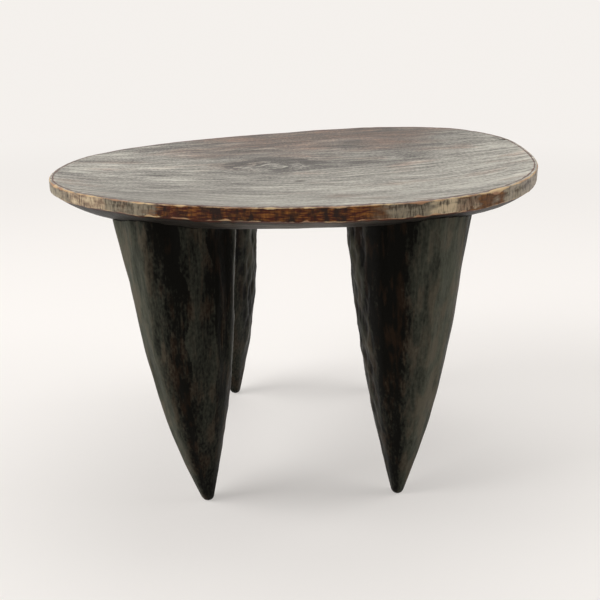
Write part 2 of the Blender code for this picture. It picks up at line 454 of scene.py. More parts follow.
def seat_rings(size):
    """The seat's slab as rings of points from the top's middle to the underside's, the number of the ring on
    the upper and on the lower edge, and the depth of the chips in those two edges."""
    seed = size.seed
    drawn = outline(size)
    edge = inset(drawn, adze_cuts(drawn, seed) - uneven("outline", flat(drawn), seed))
    angles = np.arctan2(drawn[:, 0], -drawn[:, 1])
    upper_chips, lower_chips = chipped(angles, UPPER_CHIPS), chipped(angles, LOWER_CHIPS)
    upper_round = size.edge_round + upper_chips
    lower_round = LOWER_ROUND * size.edge_round + lower_chips
    lift = uneven("upper edge", flat(drawn), seed)
    drop = uneven("lower edge", flat(drawn), seed) + uneven("lower nicks", flat(drawn), seed)
    border = inset(edge, upper_round)
    upper = rim_height(size, border) + lift
    lower = upper - rim_thickness(size, border) + drop
    underside = size.rim_height - size.thickness
    rings = []

    # The dished top, with finer rings near its border, and scoops along ovals twice as long as wide
    shares = np.linspace(0, BORDER_SHARE, TOP_RINGS + 1)[1:]
    shares = np.append(shares, np.linspace(BORDER_SHARE, 1, BORDER_RINGS + 1)[1:])
    for share in shares:
        plan = border * share
        ovals = np.column_stack([plan[:, 0], np.hypot(plan[:, 0] / 2, plan[:, 1]), plan[:, 1]])
        ripple = uneven("top", flat(plan), seed)
        ripple += uneven("top grain", ovals, seed)
        ripple += uneven("top scoops", ovals, seed, scoop)
        ripple *= 1 - share**TOP_POWER
        hollow = size.dish_depth * (1 - share**size.dish_power)
        height = rim_height(size, plan) + lift * share**EDGE_POWER - hollow + ripple - dented(plan)
        rings.append((plan, height))

    # The upper edge, the rim's face and the lower edge
    quarters = np.linspace(0, math.pi / 2, ROUND_RINGS + 1)
    for quarter in quarters[1:]:
        inwards, fall = 1 - math.sin(quarter), 1 - math.cos(quarter)
        rings.append((inset(edge, upper_round * inwards), upper - upper_round * fall))
    upper_ring = len(rings) - ROUND_RINGS // 2 - 1
    face_top, face_low = upper - upper_round, lower + lower_round
    for share in np.linspace(0, 1, FACE_RINGS + 1)[1:-1]:
        rings.append((edge, face_top + share * (face_low - face_top)))
    lower_ring = len(rings) + ROUND_RINGS // 2
    for quarter in quarters:
        inwards, rise = 1 - math.cos(quarter), 1 - math.sin(quarter)
        rings.append((inset(edge, lower_round * inwards), lower + lower_round * rise))

    # The bevel below, and the level underside
    for share in np.linspace(0, 1, BEVEL_RINGS + 1)[1:]:
        plan = inset(edge, lower_round + share * (size.bevel_width - lower_round))
        cuts = uneven("bevel", flat(plan), seed) * math.sin(share * math.pi)
        fall = 1 - (1 - share) ** size.bevel_belly
        rings.append((plan, lower + fall * (underside - lower) + cuts))
    level = inset(edge, size.bevel_width)
    for share in np.linspace(1, 0, UNDER_RINGS + 1)[1:-1]:
        rings.append((level * share, np.full(RIM_POINTS, underside)))
    points = np.array([np.column_stack([plan, height]) for plan, height in rings])
    return points, upper_ring, lower_ring, upper_chips, lower_chips


def seat_blank(name, size):
    """The seat's slab, with its marks, before its mortises are cut."""
    points, upper_ring, lower_ring, upper_chips, lower_chips = seat_rings(size)
    count, last = RIM_POINTS, (len(points) - 1) * RIM_POINTS
    faces = [
        (ring + (i + 1) % count, ring + i, ring + count + i, ring + count + (i + 1) % count)
        for ring in range(0, last, count)
        for i in range(count)
    ]
    top_hub, low_hub = len(points) * count, len(points) * count + 1
    faces += [(i, (i + 1) % count, top_hub) for i in range(count)]
    faces += [(last + (i + 1) % count, last + i, low_hub) for i in range(count)]
    hubs = [[0, 0, points[0, :, 2].mean()], [0, 0, points[-1, :, 2].mean()]]
    mesh = bpy.data.meshes.new(name)
    mesh.from_pydata(np.vstack([points.reshape(-1, 3), hubs]).tolist(), [], faces)

    run = np.cumsum(np.linalg.norm(np.diff(points, axis=0, prepend=points[:1]), axis=2), axis=0)
    past_upper, past_lower = run - run[upper_ring], run - run[lower_ring]
    chips = np.where(past_upper + past_lower < 0, upper_chips, lower_chips)
    dents = np.where(past_upper < 0, dented(points[:, :, :2]), 0)
    for mark, values in zip(SEAT_MARKS, (past_upper, past_lower, chips, dents)):
        spread = np.append(values.ravel(), (values[0].mean(), values[-1].mean())) * 1000
        mesh.attributes.new(mark, "FLOAT", "POINT").data.foreach_set("value", spread.astype(np.float32))
    return place(name, mesh)


def place(name, data):
    """An object of a mesh, a light or a camera, in the scene."""
    made = bpy.data.objects.new(name, data)
    bpy.context.scene.collection.objects.link(made)
    return made


def settle(piece):
    """Turns a piece with its modifiers into a plain mesh."""
    graph = bpy.context.evaluated_depsgraph_get()
    mesh = bpy.data.meshes.new_from_object(piece.evaluated_get(graph))
    mesh.name = piece.name
    piece.modifiers.clear()
    piece.data = mesh
    mesh.shade_smooth()
    mesh.set_sharp_from_angle(angle=math.radians(SHARP_ANGLE))


def peg(name, centre, radius, low, high):
    """An upright round peg between two heights."""
    sides = PEG_SIDES
    turns = np.linspace(0, 2 * math.pi, sides, endpoint=False)
    ring = np.column_stack([centre[0] + radius * np.cos(turns), centre[1] + radius * np.sin(turns)])
    points = [(x, y, z) for z in (low, high) for x, y in ring]
    faces = [(i, (i + 1) % sides, sides + (i + 1) % sides, sides + i) for i in range(sides)]
    faces += [tuple(reversed(range(sides))), tuple(range(sides, 2 * sides))]
    mesh = bpy.data.meshes.new(name)
    mesh.from_pydata(points, [], faces)
    return place(name, mesh)


def leg_side(add, given, spot, head_height):
    """The height and the radius of a leg's side: a curve from the tip to the head, carried on past the head,
    and a round nose at the foot, down to its small flat."""
    start = add(JOIN, [given["Tip radius"]])
    end = add(JOIN, [given["Head radius"], 0, head_height])
    handles = []
    for point, part, operation in ((start, "Tip", "ADD"), (end, "Head", "SUBTRACT")):
        way = add(JOIN, [given[f"{part} slope"], 0, 1])
        arm = add(VECTOR, {"Vector": way, "Scale": given[f"{part} reach"]}, "SCALE")
        handles.append(add(VECTOR, [point, arm], operation))
    profile = add(
        "GeometryNodeCurvePrimitiveBezierSegment", [PROFILE_POINTS, start, *handles, end], mode="POSITION"
    )
    up = add(SPLIT, [spot]).outputs["Z"]
    share = add(MATH, [up, 0.5], "ADD")
    over_share = add(MATH, [given["Overrun"], head_height], "DIVIDE")
    stretch = add(MATH, [over_share, 1], "ADD")
    climb = add(MATH, [share, stretch], "MULTIPLY")
    on_side = add(MATH, [climb, 1], "MINIMUM")
    past = add(MATH, [climb, on_side], "SUBTRACT")
    extra = add(MATH, [past, head_height], "MULTIPLY")
    side = add("GeometryNodeSampleCurve", {"Curves": profile, "Factor": on_side}, mode="FACTOR")
    side_at = add(SPLIT, [side.outputs["Position"]]).outputs
    height = add(MATH, [side_at["Z"], extra], "ADD")
    radius = add(MATH, [extra, given["Head slope"], side_at["X"]], "MULTIPLY_ADD")
    nose = add(MATH, [height, given["Nose height"]], "DIVIDE", use_clamp=True)
    from_top = add(MATH, [1, nose], "SUBTRACT")
    squared = add(MATH, [from_top, from_top], "MULTIPLY")
    arc = add(MATH, [1, squared], "SUBTRACT")
    bulge = add(MATH, [arc], "SQRT")
    flat_share = add(MATH, [given["Foot flat"], given["Tip radius"]], "DIVIDE")
    blunt = add(RANGE, [bulge, 0, 1, flat_share, 1])
    return height, add(MATH, [radius, blunt], "MULTIPLY")


def leg_flats(add, given, spot, shift):
    """A leg's section for a radius of 1, and the share of the way round it: an uneven polygon with its
    corners rounded, which sways a little up the leg."""
    sizes = {"Resolution": given["Flats"], "Radius": given["Flat reach"]}
    polygon = add("GeometryNodeCurvePrimitiveCircle", sizes, mode="RADIUS")
    less = add(MATH, [0, given["Flat jitter"]], "SUBTRACT")
    low, high = [add(JOIN, [stray, stray, 0]) for stray in (less, given["Flat jitter"])]
    strays = {0: low, 1: high, "Seed": given["Seed"]}
    jitter = add("FunctionNodeRandomValue", strays, data_type="FLOAT_VECTOR")
    jittered = add("GeometryNodeSetPosition", {"Geometry": polygon, "Offset": jitter})
    rounding = {"Count": CORNER_POINTS, "Radius": given["Flat round"], "Limit Radius": True}
    section = add("GeometryNodeFilletCurve", {"Curve": jittered, **rounding}, mode="POLY")
    sway_spot = add(VECTOR, [spot, FLAT_SWAYS, shift], "MULTIPLY_ADD")
    sway = add(NOISE, {"Vector": sway_spot, "Scale": 1, "Detail": 1})
    sway = add(MATH, [sway, 0.5], "SUBTRACT")
    sway = add(MATH, [sway, given["Flat sway"]], "MULTIPLY")
    split = add(SPLIT, [spot]).outputs
    angle = add(MATH, [split["Y"], split["X"]], "ARCTAN2")
    share = add(RANGE, [angle, -math.pi, math.pi, 0, 1])
    share = add(MATH, [share, sway], "ADD")
    share = add(MATH, [share], "FRACT")
    section_at = add("GeometryNodeSampleCurve", {"Curves": section, "Factor": share}, mode="FACTOR")
    unsway = add(MATH, [sway, -2 * math.pi, given["Turn"]], "MULTIPLY_ADD")
    turning = {"Vector": section_at.outputs["Position"], "Angle": unsway}
    return add("ShaderNodeVectorRotate", turning, rotation_type="Z_AXIS"), share


def leg_axis(add, given, height, lean):
    """The middle of a leg at a height: a line from its foot to its head, bowed most at a third of the
    height, where the factor makes its bend 1."""
    low, high = [add(VECTOR, [given[name], IN_PLAN], "MULTIPLY") for name in ("Foot", "Head")]
    axis = add(MIX, [lean, low, high], data_type="VECTOR", clamp_factor=False)
    raised = add(JOIN, {"Z": height})
    centre = add(VECTOR, [axis, raised], "ADD")
    rest = add(MATH, [1, lean], "SUBTRACT")
    rest = add(MATH, [rest, rest], "MULTIPLY")
    bend = add(MATH, [lean, rest], "MULTIPLY")
    bend = add(MATH, [bend, 27 / 4], "MULTIPLY")
    bowed = add(VECTOR, {"Vector": given["Bow"], "Scale": bend}, "SCALE")
    return add(VECTOR, [centre, bowed], "ADD")


def tool_marks(add, given, spot, height, lean, facing):
    """How far the tool marks stand out from a leg's side: long flutes, deeper towards the head, short
    scallops, and rough cuts on one side, dressed down near the foot. They fade at the tip."""
    deepen = add(RANGE, [lean, 0.45, 0.95, 0.5, 2.2])
    rough = add(RANGE, [facing, 0.70, 0.88, 0, 1], interpolation_type="SMOOTHSTEP")
    dressed = add(RANGE, [height, 0.06, 0.16, 0.25, 1])
    rough = add(MATH, [rough, dressed], "MULTIPLY")
    flute_depth = add(MATH, [deepen, given["Flute depth"]], "MULTIPLY")
    rough_depth = add(MATH, [rough, given["Rough depth"]], "MULTIPLY")

    # Each mark's depth, its sizes in millimetres, the level that it strays about, and its pattern
    tools = (
        (flute_depth, (24, 24, 130), 0.5, NOISE, {"Detail": 1}, {}),
        (given["Scallop depth"], (13, 13, 42), 0.45, CELLS, {"Smoothness": 0.3}, {"feature": "SMOOTH_F1"}),
        (rough_depth, (6.5, 6.5, 20), 0.6, CELLS, {}, {"feature": "F1"}),
    )
    marks = 0
    for depth, sizes, level, kind, inputs, settings in tools:
        scaled = add(VECTOR, [spot, per_mm(*sizes)], "MULTIPLY")
        cut = add(kind, {"Vector": scaled, "Scale": 1, **inputs}, **settings)
        cut = add(MATH, [cut, level], "SUBTRACT")
        marks = add(MATH, [cut, depth, marks], "MULTIPLY_ADD")
    fade = add(RANGE, [height, 0.004, 0.05, 0, 1], interpolation_type="SMOOTHSTEP")
    return add(MATH, [marks, fade], "MULTIPLY")


def fitted_leg(add, given, post):
    """A leg with its head scribed to the seat and its tenon on."""
    seat = add("GeometryNodeObjectInfo", {"Object": given["Seat"]}).outputs["Geometry"]
    less_gap = add(MATH, [0, given["Fit gap"]], "SUBTRACT")
    lowered = add(JOIN, {"Z": less_gap})
    scribe = add("GeometryNodeTransform", {"Geometry": seat, "Translation": lowered})
    scribed = add("GeometryNodeMeshBoolean", {0: post, 1: scribe}, "DIFFERENCE", solver="MANIFOLD")
    depth = add(MATH, [given["Tenon length"], 2], "MULTIPLY")
    sizes = {"Vertices": PEG_SIDES, "Radius": given["Tenon radius"], "Depth": depth}
    tenon = add("GeometryNodeMeshCylinder", sizes)
    tenon = add("GeometryNodeTransform", {"Geometry": tenon, "Translation": given["Head"]})
    whole = add("GeometryNodeMeshBoolean", operation="UNION", solver="MANIFOLD")
    for solid in (scribed, tenon):
        connect(solid, whole.inputs["Mesh 2"])
    return whole


def carved_leg_tree():
    """Geometry Nodes that loft a leg from its profile and its flats, carve it and fit it to the seat."""
    tree = bpy.data.node_groups.new("carved_leg", "GeometryNodeTree")
    add = partial(add_node, tree)
    sockets = {
        "Foot": "Vector", "Head": "Vector", "Bow": "Vector", "Rough side": "Vector", "Rubbed side": "Vector",
        "Head radius": "Float", "Head slope": "Float", "Overrun": "Float", "Turn": "Float",
        "Seed": "Int", "Sides": "Int", "Rings": "Int", "Seat": "Object", "Wood": "Material",
    }
    for key in StoolLegs.__annotations__:
        shared = StoolLegs.bl_rna.properties[key]
        sockets[shared.name] = shared.type.title()
    for name, kind in sockets.items():
        tree.interface.new_socket(name, in_out="INPUT", socket_type=f"NodeSocket{kind}")
    tree.interface.new_socket("Geometry", in_out="OUTPUT", socket_type="NodeSocketGeometry")
    given = add("NodeGroupInput").outputs

    # A unit drum gives each point its place round the leg and up it, and how far out on an end it is
    sizes = {
        "Vertices": given["Sides"], "Side Segments": given["Rings"], "Fill Segments": END_RINGS,
        "Radius": 1, "Depth": 1,
    }
    marked = add("GeometryNodeMeshCylinder", sizes, fill_type="TRIANGLE_FAN")
    spot = add("GeometryNodeInputPosition")
    plan_spot = add(VECTOR, [spot, IN_PLAN], "MULTIPLY")
    out = add(VECTOR, [plan_spot], "LENGTH").outputs["Value"]

    # The smooth side, with its flats
    head_height = add(SPLIT, [given["Head"]]).outputs["Z"]
    shift = add(MATH, [given["Seed"], LEG_SEED_STEP], "MULTIPLY")
    height, radius = leg_side(add, given, spot, head_height)
    section, round_share = leg_flats(add, given, spot, shift)
    lean = add(MATH, [height, head_height], "DIVIDE")
    centre = leg_axis(add, given, height, lean)
    spread = add(MATH, [radius, out], "MULTIPLY")
    around = add(VECTOR, {"Vector": section, "Scale": spread}, "SCALE")
    smooth_spot = add(VECTOR, [centre, around], "ADD")

    # The carved side, pushed out and in by its tool marks
    outward = add(VECTOR, [section], "NORMALIZE")
    facing, rubbed = [
        add(VECTOR, [outward, given[side]], "DOT_PRODUCT").outputs["Value"]
        for side in ("Rough side", "Rubbed side")
    ]
    shifted = add(VECTOR, [smooth_spot, shift], "ADD")
    marks = tool_marks(add, given, shifted, height, lean, facing)
    marks = add(MATH, [marks, out], "MULTIPLY")
    push = add(VECTOR, {"Vector": outward, "Scale": marks}, "SCALE")
    carved_spot = add(VECTOR, [smooth_spot, push], "ADD")

    # What the finish reads, with a tone for each flat that changes at the middle of a corner; the tone is
    # painted light that stands in for the light each flat catches
    tone = add(MATH, [round_share, given["Flats"], -CORNER_MIDDLE], "MULTIPLY_ADD")
    tone = add(MATH, [tone], "FLOOR")
    tone = add(MATH, [given["Seed"], FLAT_SEED_STEP, tone], "MULTIPLY_ADD")
    tone = add("ShaderNodeTexWhiteNoise", [tone], noise_dimensions="1D").outputs["Value"]
    marks_mm = add(MATH, [marks, 1000], "MULTIPLY")
    for name, value in zip(LEG_MARKS, (marks_mm, facing, rubbed, tone)):
        mark = {"Geometry": marked, "Name": name, "Value": value}
        marked = add("GeometryNodeStoreNamedAttribute", mark, data_type="FLOAT", domain="POINT")

    post = add("GeometryNodeSetPosition", {"Geometry": marked, "Position": carved_spot})
    real = add("GeometryNodeRealizeInstances", [fitted_leg(add, given, post)])
    wooden = add("GeometryNodeSetMaterial", {"Geometry": real, "Material": given["Wood"]})
    add("NodeGroupOutput", [wooden])
    return tree


def new_material(name):
    """A material with nodes, and the function that adds nodes to it."""
    material = bpy.data.materials.new(name)
    material.use_nodes = True
    return material, partial(add_node, material.node_tree)


def set_shader(material, values):
    """Sets or links the inputs of a material's shader, and gives the shader."""
    shader = material.node_tree.nodes["Principled BSDF"]
    for name, value in values.items():
        connect(value, shader.inputs[name])
    return shader


def top_grain(add, spot):
    """Coordinates along and across the top's grain, which closes round a knot left of the middle, parts to
    pass it, draws together towards both ends, and sways a little. With them, its place across alone, and how
    far a point lies behind the knot and from the knot's eye, in sizes of the knot."""
    from_knot = add(VECTOR, [spot, KNOT_PLACE], "SUBTRACT")
    knot_spot = add(VECTOR, [from_knot, (*per_mm(KNOT_LENGTH, KNOT_WIDTH), 0)], "MULTIPLY")
    beside = add(SPLIT, [knot_spot]).outputs["Y"]
    eye = add(VECTOR, [knot_spot], "LENGTH").outputs["Value"]
    wrinkle_spot = add(VECTOR, [spot, per_mm(24, 14, 100)], "MULTIPLY")
    wrinkle = add(NOISE, {"Vector": wrinkle_spot, "Scale": 1, "Detail": 3})
    wrinkle = add(MATH, [wrinkle, 0.5], "SUBTRACT")
    eye = add(MATH, [wrinkle, 1.5, eye], "MULTIPLY_ADD")
    outside = add(MATH, [eye, 1], "MAXIMUM")
    parted = add(MATH, [outside, -2], "POWER")
    parted = add(MATH, [1, parted], "SUBTRACT")
    across = add(MATH, [beside, parted], "MULTIPLY")
    closed = add(MATH, [eye, outside], "SUBTRACT")
    across = add(MATH, [across, closed], "ADD")
    along = add(SPLIT, [spot]).outputs["X"]
    end_share = add(MATH, [along, GRAIN_REACH], "DIVIDE")
    narrow = add(MATH, [end_share, end_share], "MULTIPLY")
    narrow = add(MATH, [1, narrow], "SUBTRACT")
    narrow = add(MATH, [narrow], "SQRT")
    across = add(MATH, [across, narrow], "DIVIDE")
    across = add(MATH, [across, KNOT_WIDTH / 1000], "MULTIPLY")
    sway_spot = add(VECTOR, [spot, per_mm(150, 110, 100)], "MULTIPLY")
    sway = add(NOISE, {"Vector": sway_spot, "Scale": 1, "Detail": 2})
    across = add(MATH, [sway, 0.03, across], "MULTIPLY_ADD")
    run = add(JOIN, [along, across, 0])
    return run, across, beside, eye


def seat_values(add):
    """What the seat's finish is told by at each point: its place, its marks, the grain and the patterns."""
    spot = add("ShaderNodeTexCoord").outputs["Object"]
    split = add(SPLIT, [spot]).outputs
    at = {"x": split["X"], "y": split["Y"], "plan": add(VECTOR, [spot, IN_PLAN], "MULTIPLY")}
    for mark in SEAT_MARKS:
        at[mark] = add("ShaderNodeAttribute", attribute_name=mark).outputs["Fac"]
    run, at["across"], at["behind knot"], at["knot eye"] = top_grain(add, spot)

    # Coordinates round the rim, for what is drawn along it, and down over the bevel
    way = add(VECTOR, [at["plan"]], "NORMALIZE")
    down = add(MATH, [at["lower_edge"], 0.001], "MULTIPLY")
    down = add(JOIN, {"Z": down})
    hoop = add(VECTOR, [way, (HOOP_RADIUS, HOOP_RADIUS, 0), down], "MULTIPLY_ADD")

    # Each pattern's coordinates, its sizes along them in millimetres, and its detail. Real fibres and pores
    # are finer than these, which are as coarse as they need to be to show.
    patterns = {
        "tone": (run, (180, 50, 1), 3),
        "streak": (run, (90, 5.5, 1), 4),
        "fibre": (run, (90, 1.5, 1), 3),
        "pore": (run, (18, 1.1, 1), 2),
        "crack": (run, (130, 2.4, 1), 2),
        "wear": (run, (45, 16, 1), 4),
        "stroke": (run, (30, 5, 1), 4),
        "patch": (run, (80, 36, 1), 4),
        "grit": (spot, (3, 4, 100), 3),
        "cut": (spot, (1.3, 1.3, 7), 3),
        "flake": (spot, (15, 15, 5), 4),
        "blotch": (spot, (20, 20, 60), 3),
        "grain": (spot, (9, 9, 1.3), 5),
        "soot": (spot, (5, 5, 9), 5),
        "rub": (spot, (8, 8, 5), 5),
        "brush": (hoop, (34, 34, 3), 4),
    }
    for name, (coordinates, sizes, detail) in patterns.items():
        scaled = add(VECTOR, [coordinates, per_mm(*sizes)], "MULTIPLY")
        at[name] = add(NOISE, {"Vector": scaled, "Scale": 1, "Detail": detail})

    # How far some of them stray from their middle level
    for name in ("streak", "stroke", "blotch", "flake", "rub"):
        at[f"{name} stray"] = add(MATH, [at[name], 0.5], "SUBTRACT")

    # How far points lie to either side of the middle, of the knot's lid and of lines along the rim
    lid_eye = add(MATH, [at["streak stray"], 1.2, at["knot eye"]], "MULTIPLY_ADD")
    lines = {
        "axis": (at["x"], 0), "middle": (at["x"], 0.035), "lid": (lid_eye, 1.35),
        "upper edge": (at["upper_edge"], 0), "upper line": (at["upper_edge"], -3),
        "lower edge": (at["lower_edge"], 0), "lower line": (at["lower_edge"], 1.9),
    }
    for name, (value, line) in lines.items():
        past = add(MATH, [value, line], "SUBTRACT")
        at[f"from {name}"] = add(MATH, [past], "ABSOLUTE")
    return at


def top_wood(add, finish, at):
    """The top's colour, its roughness and its relief. It is grey, streaked along its grain."""

    # Growth rings, which the dish cuts nearly flat, so that they show as lines far apart
    ring = add(MATH, [at["tone"], 4, at["streak"]], "MULTIPLY_ADD")
    ring = add(MATH, [at["across"], *per_mm(RING_MM), ring], "MULTIPLY_ADD")
    ring = add(MATH, [ring], "FRACT")
    ring = add(RANGE, [ring, 0.7, 1, 0, 1])

    # Parts of the top: what each is told by, the two ends of its range, and its strength at each end
    right_back = add(MATH, [at["x"], at["y"]], "MULTIPLY")
    right_front = add(MATH, [at["y"], -0.7, at["x"]], "MULTIPLY_ADD")
    parts = {
        "knot": (at["knot eye"], 1.5, 0.5, 0, 1),
        "lid": (at["from lid"], 0.5, 0.0, 0, 0.35),
        "lid behind": (at["behind knot"], -0.6, 1.0, 0.2, 1),
        "middle": (at["from middle"], 0.06, 0.22, 1, 0.2),
        "inner": (at["y"], -0.12, 0.0, 0, 1),
        # The paler right end is a painted sheen
        "right end": (right_front, 0.06, 0.2, 0, 0.07),
        "left end": (at["x"], -0.08, -0.17, 0, 0.35),
        "far": (at["y"], 0.04, 0.18, 0, 0.09),
        "fore": (at["y"], -0.08, -0.17, 0, 0.05),
        "calm": (right_back, 0.006, 0.018, 0, 1),
        "gain": (at["y"], -0.16, -0.06, 0.8, 1.3),
        "back": (at["y"], 0.0, 0.15, 0, 0.36),
        "bold": (at["wear"], 0.35, 0.65, 0.25, 1.0),
        "pore": (at["pore"], 0.58, 0.68, 0, 0.28),
        "stroke": (at["stroke"], 0.4, 0.28, 0, 0.42),
        "crack": (at["crack"], 0.6, 0.68, 0, 0.45),
    }
    for name, ends in parts.items():
        kind = "SMOOTHSTEP" if name in ("knot", "middle", "inner") else "LINEAR"
        parts[name] = add(RANGE, ends, interpolation_type=kind)

    # How light it is: streaks come and go, with fine grit between, it is torn in the knot, darker in the
    # middle, at the back and along the front, paler at the right end, and bolder at the left end. The darker
    # middle is partly dirt in the dish and partly painted shade, and the paler right end is a painted sheen
    torn = add(MATH, [at["stroke stray"], parts["knot"]], "MULTIPLY")
    lid = add(MATH, [parts["lid"], parts["lid behind"]], "MULTIPLY")
    # Darker in the dished middle: partly dirt, partly painted shade
    dirt_and_shade = add(MATH, [parts["inner"], parts["middle"]], "MULTIPLY")
    light = -0.305
    for value, weight in (
        (ring, -0.1), (at["tone"], 0.5), (at["wear"], 0.45), (at["fibre"], 0.6), (at["stroke"], 0.36),
        (at["grit"], 0.55), (at["streak stray"], parts["bold"]), (torn, 2), (lid, -1), (dirt_and_shade, -0.09),
        (parts["right end"], 1), (parts["far"], -1), (parts["fore"], -1), (parts["calm"], -0.06),
    ):
        light = add(MATH, [value, weight, light], "MULTIPLY_ADD")
    gain = parts["gain"]
    for value, weight in ((parts["calm"], -0.4), (parts["left end"], 1)):
        gain = add(MATH, [value, weight, gain], "MULTIPLY_ADD")
    usual, darkest, palest = 0.87, 0.59, 1.28
    light = add(MATH, [light, usual], "SUBTRACT")
    light = add(MATH, [light, gain, usual], "MULTIPLY_ADD")
    pale = add(RANGE, [light, darkest, palest, 0, 1])
    gloss = add(RANGE, [light, darkest, palest, 0.42, 0.62])

    # Brown heartwood is bared towards the back, the middle takes more dirt and painted shade, and pores,
    # strokes, cracks and dents are dark
    dark_dirt_and_shade = add(MATH, [dirt_and_shade, 0.25], "MULTIPLY")
    bare = add(MATH, [parts["back"], parts["middle"], at["patch"]], "MULTIPLY_ADD")
    bare = add(RANGE, [bare, 0.56, 0.88, 0, 0.85])
    heart = add(MIX, [pale, finish.patina_deep, finish.heart_brown], data_type="RGBA")
    stroke = parts["stroke"]
    for name in ("pore", "crack"):
        stroke = add(MATH, [stroke, parts[name]], "MAXIMUM")
    stroke = add(MATH, [at["dent"], 0.9, stroke], "MULTIPLY_ADD", use_clamp=True)
    colour = add(MIX, [pale, finish.patina_dark, finish.patina_pale], data_type="RGBA")
    for share, over in ((dark_dirt_and_shade, finish.patina_deep), (bare, heart), (stroke, finish.patina_deep)):
        colour = add(MIX, [share, colour, over], data_type="RGBA")
    relief = add(MATH, [at["fibre"], 0.6, at["streak"]], "MULTIPLY_ADD")
    relief = add(MATH, [stroke, -0.5, relief], "MULTIPLY_ADD")
    return colour, gloss, relief


def rim_wood(add, finish, at):
    """The colour and the relief of the rim's face. Its colour goes by the angle from the front, with nicks
    all round. Where it is oiled it has amber grain and soot. Where it is dry, dirt lies in the fine upright
    cuts, and where it is bare there are cream flecks, more of them low down."""
    ahead = add(MATH, [0, at["y"]], "SUBTRACT")
    angle = add(MATH, [at["x"], ahead], "ARCTAN2")
    for name, weight in (("blotch stray", 0.35), ("flake stray", 0.25)):
        angle = add(MATH, [at[name], weight, angle], "MULTIPLY_ADD")
    round_share = add(RANGE, [angle, -math.pi, math.pi, 0, 1])
    stops = [
        ((degrees + 180) / 360, (*getattr(finish, name)[:3], RIM_STAINS[name]))
        for degrees, name in RIM_ZONES
    ]
    zones = add("ShaderNodeValToRGB", [round_share], stops=stops)
    stain = zones.outputs["Alpha"]
    sooty = add(MATH, [at["blotch"], 1.3, at["soot"]], "MULTIPLY_ADD")
    low_down = add(RANGE, [at["upper_edge"], 1, 11, -0.06, 0.06])
    mottle = add(MATH, [at["cut"], 0.6, at["flake"]], "MULTIPLY_ADD")
    mottle = add(MATH, [mottle, low_down], "ADD")

    # What each is told by, the two ends of its range, and its strength at each end
    parts = {
        "oiled": (stain, 0.5, 1, 0, 1),
        "dry": (stain, 0.5, 1, 1, 0),
        "bare": (stain, 0, 0.5, 1, 0),
        "amber": (at["grain"], 0.46, 0.68, 0, 0.95),
        "soot": (sooty, 1.06, 1.3, 0, 0.95),
        "nick": (at["cut"], 0.5, 0.3, 0, 0.5),
        "dirt": (mottle, 0.8, 0.6, 0, 0.65),
        "cream": (mottle, 0.8, 0.98, 0, 0.85),
    }
    for name, ends in parts.items():
        parts[name] = add(RANGE, ends)
    for name, where in (("amber", "oiled"), ("soot", "oiled"), ("dirt", "dry"), ("cream", "bare")):
        parts[name] = add(MATH, [parts[name], parts[where]], "MULTIPLY")
    dark = add(MATH, [parts["dirt"], parts["soot"]], "MAXIMUM")
    colour = zones
    for share, over in (
        (parts["amber"], finish.rim_amber), (parts["nick"], finish.rim_dark), (dark, finish.rim_dark),
        (parts["cream"], finish.rim_cream),
    ):
        colour = add(MIX, [share, colour, over], data_type="RGBA")
    return colour, mottle


def under_wood(add, finish, at):
    """The colour of the bevel, brushed along the rim, and of the underside, brushed along the grain. It has
    painted shade under the rim's edge and is darker about the legs' heads."""
    level = add(RANGE, [at["lower_edge"], 22, 40, 0, 1])
    brushed = add(MIX, [level, at["brush"], at["stroke"]], data_type="FLOAT")
    brushed = add(RANGE, [brushed, 0.38, 0.62, 0, 1])
    colour = add(MIX, [brushed, finish.under_dark, finish.under_grey], data_type="RGBA")
    # Painted shade on the bevel just under the rim's edge
    black = add(RANGE, [at["lower_edge"], 2, 13, 0.6, 0])
    # Darker about each leg's head
    for leg in LEGS.values():
        away = add(VECTOR, [at["plan"], (*leg["head"], 0)], "DISTANCE").outputs["Value"]
        away = add(MATH, [at["blotch"], 0.03, away], "MULTIPLY_ADD")
        near = add(RANGE, [away, 0.122, 0.088, 0, 0.85])
        black = add(MATH, [black, near], "MAXIMUM")
    return add(MIX, [black, colour, finish.leg_black], data_type="RGBA")


def worn_edges(add, finish, at):
    """What lies over the other colours at the edges, as shares and colours: a dark line just inside the
    upper edge and just below the lower one, partly dirt and partly painted shade, and golden wood where
    they are rubbed or chipped."""
    # The dark line along the edges: partly dirt, partly painted shade
    line = add(MATH, [at["from upper line"], at["from lower line"]], "MINIMUM")
    thin = add(RANGE, [at["from axis"], 0.12, 0.22, 1, 2.4])
    line = add(MATH, [line, thin], "MULTIPLY")
    line = add(MATH, [at["rub stray"], 7, line], "MULTIPLY_ADD")
    line = add(RANGE, [line, 2.4, 1.2, 0, 0.85])
    reach = add(MATH, [at["chip"], 0.9, 0.25], "MULTIPLY_ADD")
    reach = add(MATH, [at["rub stray"], 4, reach], "MULTIPLY_ADD")
    from_upper = add(MATH, [at["from upper edge"], 0.35], "SUBTRACT")
    nearest = add(MATH, [from_upper, at["from lower edge"]], "MINIMUM")
    inside = add(MATH, [reach, nearest], "SUBTRACT")
    rubbed = add(RANGE, [inside, -0.3, 0.4, 0, 0.9])
    golden = add(RANGE, [at["flake"], 0.42, 0.58, 0, 1])
    gold = add(MIX, [golden, finish.worn_rose, finish.worn_gold], data_type="RGBA")
    return (line, finish.rim_brown), (rubbed, gold)


